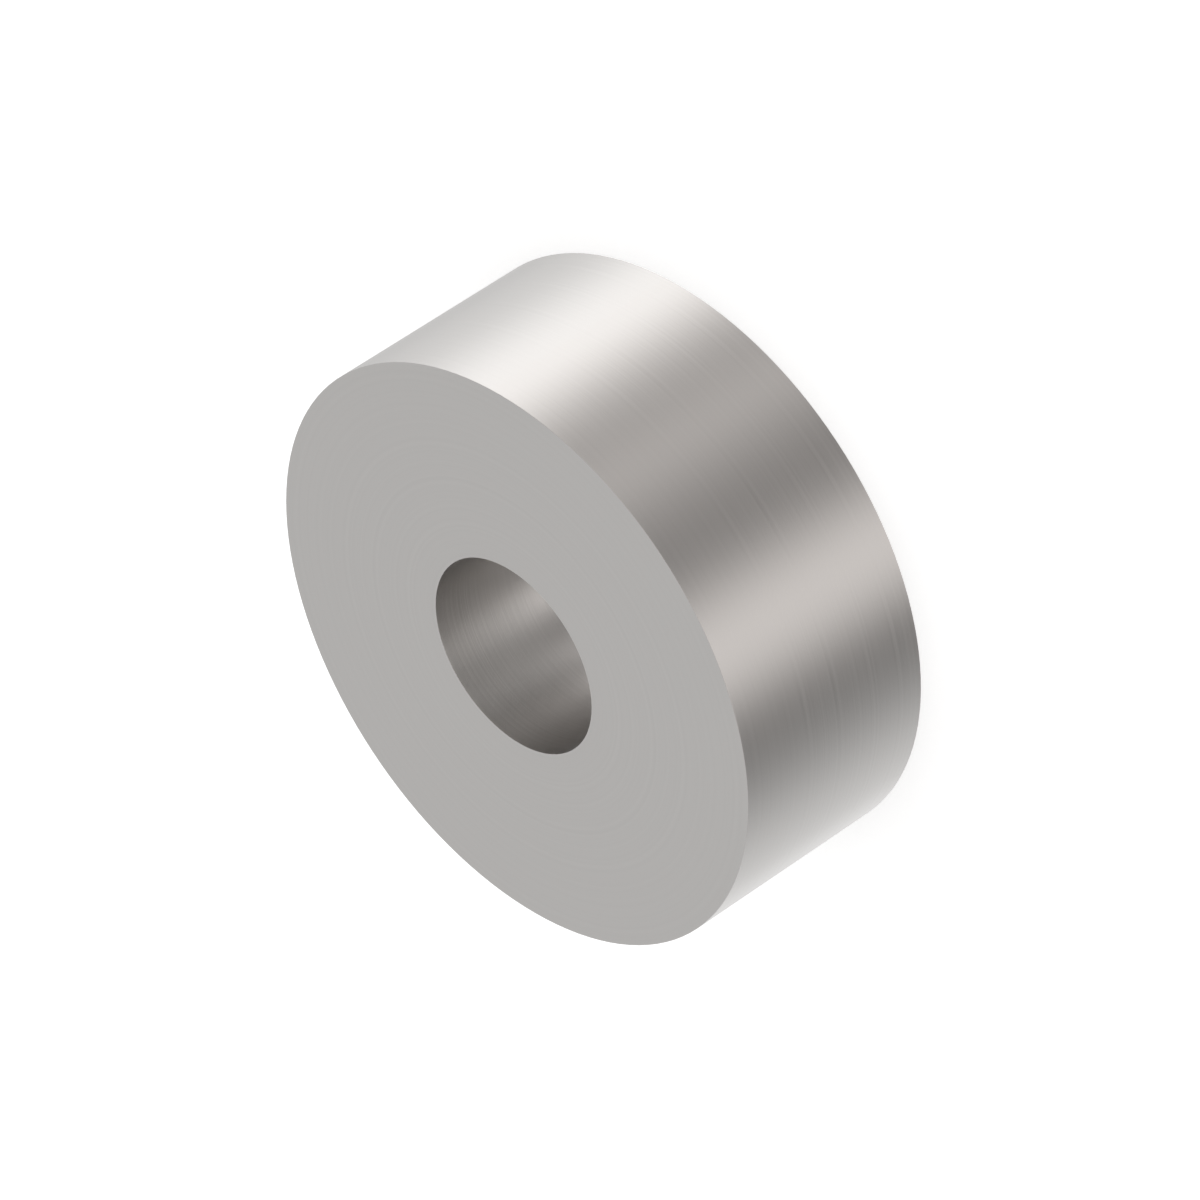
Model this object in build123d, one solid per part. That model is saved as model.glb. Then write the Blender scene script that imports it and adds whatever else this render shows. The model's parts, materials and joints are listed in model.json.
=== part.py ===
from build123d import *
import os

# Counterweight spacer: one plain thick ring, turned and bored from round steel bar.
# It stands on its lower end face. +Z runs along the bore, and the origin is the
# centre of that face. All sizes are in millimetres.

outer_diameter = 40.0  # over the turned rim
bore_diameter = 13.5  # clearance hole for an M12 bolt or stud
length = 15.0  # between the two faced ends
edge_break = 0.02  # 45 degree deburr on the two rims and the two bore mouths

outer_radius = outer_diameter / 2
bore_radius = bore_diameter / 2


def half_section():
    """The ring's section on one side of its axis, with its four corners broken."""
    with BuildSketch(Plane.XZ) as section:
        with Locations((bore_radius, 0)):
            Rectangle(outer_radius - bore_radius, length, align=(Align.MIN, Align.MIN))
        chamfer(section.vertices(), length=edge_break)
    return section.sketch


def spacer_ring():
    """The half section turned once round the bore axis, as the lathe leaves it."""
    ring = revolve(half_section(), axis=Axis.Z)
    ring.label = "spacer_ring"
    return ring


os.makedirs("parts", exist_ok=True)
export_step(spacer_ring(), "parts/spacer_ring.step")
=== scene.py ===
import json
import math

import bpy
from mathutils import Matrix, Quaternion, Vector


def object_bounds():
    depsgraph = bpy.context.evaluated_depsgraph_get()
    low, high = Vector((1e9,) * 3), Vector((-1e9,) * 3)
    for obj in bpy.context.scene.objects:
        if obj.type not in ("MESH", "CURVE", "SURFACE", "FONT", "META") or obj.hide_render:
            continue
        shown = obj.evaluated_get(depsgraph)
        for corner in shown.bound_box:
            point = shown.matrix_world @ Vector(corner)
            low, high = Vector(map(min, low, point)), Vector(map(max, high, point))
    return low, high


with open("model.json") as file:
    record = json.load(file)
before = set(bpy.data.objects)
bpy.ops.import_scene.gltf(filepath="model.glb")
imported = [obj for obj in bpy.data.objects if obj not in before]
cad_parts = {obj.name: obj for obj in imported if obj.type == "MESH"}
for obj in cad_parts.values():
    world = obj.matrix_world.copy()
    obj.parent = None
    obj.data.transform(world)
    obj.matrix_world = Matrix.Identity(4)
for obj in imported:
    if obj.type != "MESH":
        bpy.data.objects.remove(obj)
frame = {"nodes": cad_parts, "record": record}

cad_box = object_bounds()

# Spacer ring.
# One thick ring of mild steel, turned and bored on a lathe from round bar and faced on both ends.
# Its form is the CAD solid's own, deburred edges included, so this section gives it its finish.

turned_tone = "#C1BFBD"
turned_roughness = 0.32
# Painted light: the bore's steel is a little lighter than the wall's, standing in for more light in the
# bore
bore_painted_light_tone = "#C5C3C1"
bored_roughness = 0.35
bore = next(mount["dims"] for mount in frame["record"]["mounts"] if mount["name"] == "bore")
bore_margin = 0.00001  # metres past the bore's wall that still take the bore's finish
bore_reach = bore["r_mm"] / 1000 + bore_margin
roughness_stray = 0.02  # either side, from ring to ring
tone_stray = 0.02  # the same, as a share of the tone
tool_mark = 0.0003  # metres between rings. The real feed is about half this, too fine to show
tool_mark_depth = 0.000005  # metres for the noise's full swing, which gives about Ra 0.4 micrometres
finer_marks = 2.0  # layers of finer rings, each half as far apart as the one before
finer_mark_strength = 0.6  # of each layer, beside the one before
faint_mark = 0.25  # nearly all of the noise lies between these two
strong_mark = 0.75

# A Mix node's inputs share the names A and B, and its outputs the name Result, so they go by place
number_a = 2
number_b = 3
colour_a = 6
colour_b = 7
mixed_colour = 2


def linear(hex_colour):
    """An sRGB hex colour as the linear red, green, blue and alpha that shaders take."""
    shares = [int(hex_colour[i : i + 2], 16) / 255 for i in (1, 3, 5)]
    return (*[s / 12.92 if s <= 0.04045 else ((s + 0.055) / 1.055) ** 2.4 for s in shares], 1.0)


def add(tree, kind, sockets=None, **settings):
    """Adds a node. A socket goes by its name, or by its place where several share one, and takes
    a plain value or a link from another node's output."""
    node = tree.nodes.new(kind)
    for name, value in settings.items():
        setattr(node, name, value)
    for name, value in (sockets or {}).items():
        if isinstance(value, bpy.types.NodeSocket):
            tree.links.new(value, node.inputs[name])
        else:
            node.inputs[name].default_value = value
    return node


def turned_steel():
    """Bare mild steel, finely turned: a satin grey metal that draws the studio out into soft
    bands along its wall, with faint rings where the tool has passed. The bore is a little duller,
    as a boring bar leaves it, and its steel is painted a little lighter as painted light in the bore."""
    material = bpy.data.materials.new("turned_steel")
    material.use_nodes = True
    tree = material.node_tree
    tree.nodes.clear()
    place = add(tree, "ShaderNodeTexCoord").outputs["Object"]
    height = add(tree, "ShaderNodeSeparateXYZ", {0: place}).outputs["Z"]
    flat = add(tree, "ShaderNodeVectorMath", {0: place, 1: (1, 1, 0)}, operation="MULTIPLY").outputs[0]
    radius = add(tree, "ShaderNodeVectorMath", {0: flat}, operation="LENGTH").outputs["Value"]
    # The tool runs along the axis on the wall and in the bore, and along a radius on the ends
    tool_path = add(tree, "ShaderNodeMath", {0: radius, 1: height}, operation="ADD").outputs[0]
    pattern = {
        "W": tool_path,
        "Scale": 1 / tool_mark,
        "Detail": finer_marks,
        "Roughness": finer_mark_strength,
    }
    marks = add(tree, "ShaderNodeTexNoise", pattern, noise_dimensions="1D").outputs["Fac"]
    in_bore = add(tree, "ShaderNodeMath", {0: radius, 1: bore_reach}, operation="LESS_THAN").outputs[0]
    spread = {"Value": marks, "From Min": faint_mark, "From Max": strong_mark}
    stray = add(
        tree,
        "ShaderNodeMapRange",
        spread | {"To Min": -roughness_stray, "To Max": roughness_stray},
    ).outputs[0]
    dullness = {"Factor": in_bore, number_a: turned_roughness, number_b: bored_roughness}
    roughness = add(tree, "ShaderNodeMix", dullness).outputs[0]
    roughness = add(tree, "ShaderNodeMath", {0: roughness, 1: stray}, operation="ADD").outputs[0]
    shade = add(
        tree,
        "ShaderNodeMapRange",
        spread | {"To Min": 1 - tone_stray, "To Max": 1 + tone_stray},
    ).outputs[0]
    # The bore's lighter tone is painted light, not a different steel
    tones = {"Factor": in_bore, colour_a: linear(turned_tone), colour_b: linear(bore_painted_light_tone)}
    tone = add(tree, "ShaderNodeMix", tones, data_type="RGBA").outputs[mixed_colour]
    tone = add(tree, "ShaderNodeVectorMath", {0: tone, "Scale": shade}, operation="SCALE").outputs[0]
    grooves = add(tree, "ShaderNodeBump", {"Height": marks, "Distance": tool_mark_depth}).outputs[0]
    steel = add(
        tree,
        "ShaderNodeBsdfPrincipled",
        {"Base Color": tone, "Metallic": 1.0, "Roughness": roughness, "Normal": grooves},
    ).outputs[0]
    add(tree, "ShaderNodeOutputMaterial", {"Surface": steel})
    return material


ring = frame["nodes"]["spacer_ring"]
ring.data.materials.clear()
ring.data.materials.append(turned_steel())

# Table.
# A plain matt white sheet that the spacer stands on. It takes the soft shadow, and its glow to the
# camera reads as pure white. The steel doesn't mirror it: so near the wall it would hide the cards.

table_reach = 1.5  # metres from the middle to each side
table_white = "#F2F2F2"
table_glow = 0.33


def white_sheet():
    """Matt white laminate: it has no gloss, and where the light falls fully on it, it is pure white."""
    material = bpy.data.materials.new("white_sheet")
    material.use_nodes = True
    tree = material.node_tree
    tree.nodes.clear()
    paper = add(tree, "ShaderNodeBsdfDiffuse", {"Color": linear(table_white)}).outputs[0]
    ray = add(tree, "ShaderNodeLightPath").outputs
    seen = ray["Is Camera Ray"]
    for other_ray in ("Is Glossy Ray", "Is Transmission Ray"):
        seen = add(tree, "ShaderNodeMath", {0: seen, 1: ray[other_ray]}, operation="MAXIMUM").outputs[0]
    lift = add(tree, "ShaderNodeMath", {0: seen, 1: table_glow}, operation="MULTIPLY").outputs[0]
    glow = add(tree, "ShaderNodeEmission", {"Strength": lift}).outputs[0]
    both = add(tree, "ShaderNodeAddShader", {0: paper, 1: glow}).outputs[0]
    add(tree, "ShaderNodeOutputMaterial", {"Surface": both})
    return material


table_mesh = bpy.data.meshes.new("table")
corners = [(x * table_reach, y * table_reach, 0) for x, y in ((-1, -1), (1, -1), (1, 1), (-1, 1))]
table_mesh.from_pydata(corners, [], [(0, 1, 2, 3)])
table_mesh.materials.append(white_sheet())
table = bpy.data.objects.new("table", table_mesh)
bpy.context.scene.collection.objects.link(table)
table.visible_glossy = False

# Camera.
# It stands off with a long lens, looks down on the top face and is rolled, as in the photograph.

camera_azimuth = math.radians(45)  # from -Y towards +X
camera_elevation = math.radians(32.66)
camera_roll = math.radians(-122.95)
camera_distance = 0.6115  # metres from the middle of the spacer
camera_lens = 299.4  # millimetres
sensor_width = 36  # millimetres

low, high = cad_box
reach = math.cos(camera_elevation)
outwards = Vector(
    (math.sin(camera_azimuth) * reach, -math.cos(camera_azimuth) * reach, math.sin(camera_elevation))
)
camera = bpy.data.objects.new("camera", bpy.data.cameras.new("camera"))
camera.data.sensor_width = sensor_width
camera.data.lens = camera_lens
camera.location = (low + high) / 2 + outwards * camera_distance
camera.rotation_mode = "QUATERNION"
camera.rotation_quaternion = (-outwards).to_track_quat("-Z", "Y") @ Quaternion((0, 0, 1), camera_roll)
bpy.context.scene.collection.objects.link(camera)
bpy.context.scene.camera = camera

# Studio.
# A white room with a light grey ceiling gives all the light. Soft-edged panels and dark flags stand
# low round the spacer, where its wall and bore mirror them as bands that run along the axis.

room_level = 1.0  # plain white between the cards, and everywhere for a ray that isn't mirrored
# Azimuth from the camera, to the left as the spacer faces it, half width, and level. Angles in degrees
cards = {
    "key_panel": (81, 58, 1.95),
    "key_flag": (57, 32, 0.05),
    "front_flag": (10, 32, 0.73),
    "fill_panel": (-39, 38, 2.12),
    "side_flag": (-48, 99, 0.13),
    "right_rear_panel": (-158, 20, 1.22),
    "left_rear_flag": (160, 26, 0.75),
}
card_top = 0.03  # height on a sphere of radius 1, up to which the cards show in full
ceiling_edge = 0.28  # height on it from which the ceiling alone shows
ceiling_grey = 0.8
room_white = "#FFFFFF"
warm_white = "#FFFBF9"  # the side of the room behind the camera
warm_core = math.radians(50)  # either side of the camera, up to which it is warm in full
warm_reach = math.radians(110)  # either side of the camera, by which it has faded to white

world = bpy.data.worlds.new("studio")
bpy.context.scene.world = world
world.use_nodes = True
# The cards are there for mirrored rays alone, and sampling the world as a light would miss them
world.cycles.sampling_method = "NONE"
tree = world.node_tree
tree.nodes.clear()
out_way = add(tree, "ShaderNodeTexCoord").outputs["Generated"]
towards = add(tree, "ShaderNodeSeparateXYZ", {0: out_way}).outputs
turn = add(tree, "ShaderNodeMath", {0: towards["Y"], 1: towards["X"]}, operation="ARCTAN2").outputs[0]


def angle_from(azimuth):
    """The angle between a ray's heading and an azimuth counted from the camera."""
    centre = camera_azimuth - math.pi / 2 + azimuth
    off = add(tree, "ShaderNodeMath", {0: turn, 1: centre}, operation="SUBTRACT").outputs[0]
    near = add(tree, "ShaderNodeMath", {0: off, 1: math.pi, 2: -math.pi}, operation="WRAP").outputs[0]
    return add(tree, "ShaderNodeMath", {0: near}, operation="ABSOLUTE").outputs[0]


level = room_level
for name, (azimuth, half_width, card_level) in cards.items():
    away = {"Value": angle_from(math.radians(azimuth)), "From Max": math.radians(half_width)}
    card = add(
        tree,
        "ShaderNodeMapRange",
        away | {"To Min": card_level - room_level, "To Max": 0.0},
        interpolation_type="SMOOTHERSTEP",
        name=name,
    ).outputs[0]
    level = add(tree, "ShaderNodeMath", {0: level, 1: card}, operation="ADD").outputs[0]
heights = {"Value": towards["Z"], "From Min": card_top, "From Max": ceiling_edge}
mirrored = add(
    tree,
    "ShaderNodeMapRange",
    heights | {"To Min": level, "To Max": ceiling_grey},
    interpolation_type="SMOOTHERSTEP",
).outputs[0]
ray = add(tree, "ShaderNodeLightPath").outputs
strength = add(
    tree,
    "ShaderNodeMix",
    {"Factor": ray["Is Glossy Ray"], number_a: room_level, number_b: mirrored},
).outputs[0]
warmth = add(
    tree,
    "ShaderNodeMapRange",
    {
        "Value": angle_from(0.0),
        "From Min": warm_core,
        "From Max": warm_reach,
        "To Min": ray["Is Glossy Ray"],
        "To Max": 0.0,
    },
    interpolation_type="SMOOTHERSTEP",
).outputs[0]
colour = add(
    tree,
    "ShaderNodeMix",
    {"Factor": warmth, colour_a: linear(room_white), colour_b: linear(warm_white)},
    data_type="RGBA",
).outputs[mixed_colour]
backdrop = add(tree, "ShaderNodeBackground", {"Color": colour, "Strength": strength}).outputs[0]
add(tree, "ShaderNodeOutputWorld", {"Surface": backdrop})

bpy.context.scene.view_settings.view_transform = "Standard"
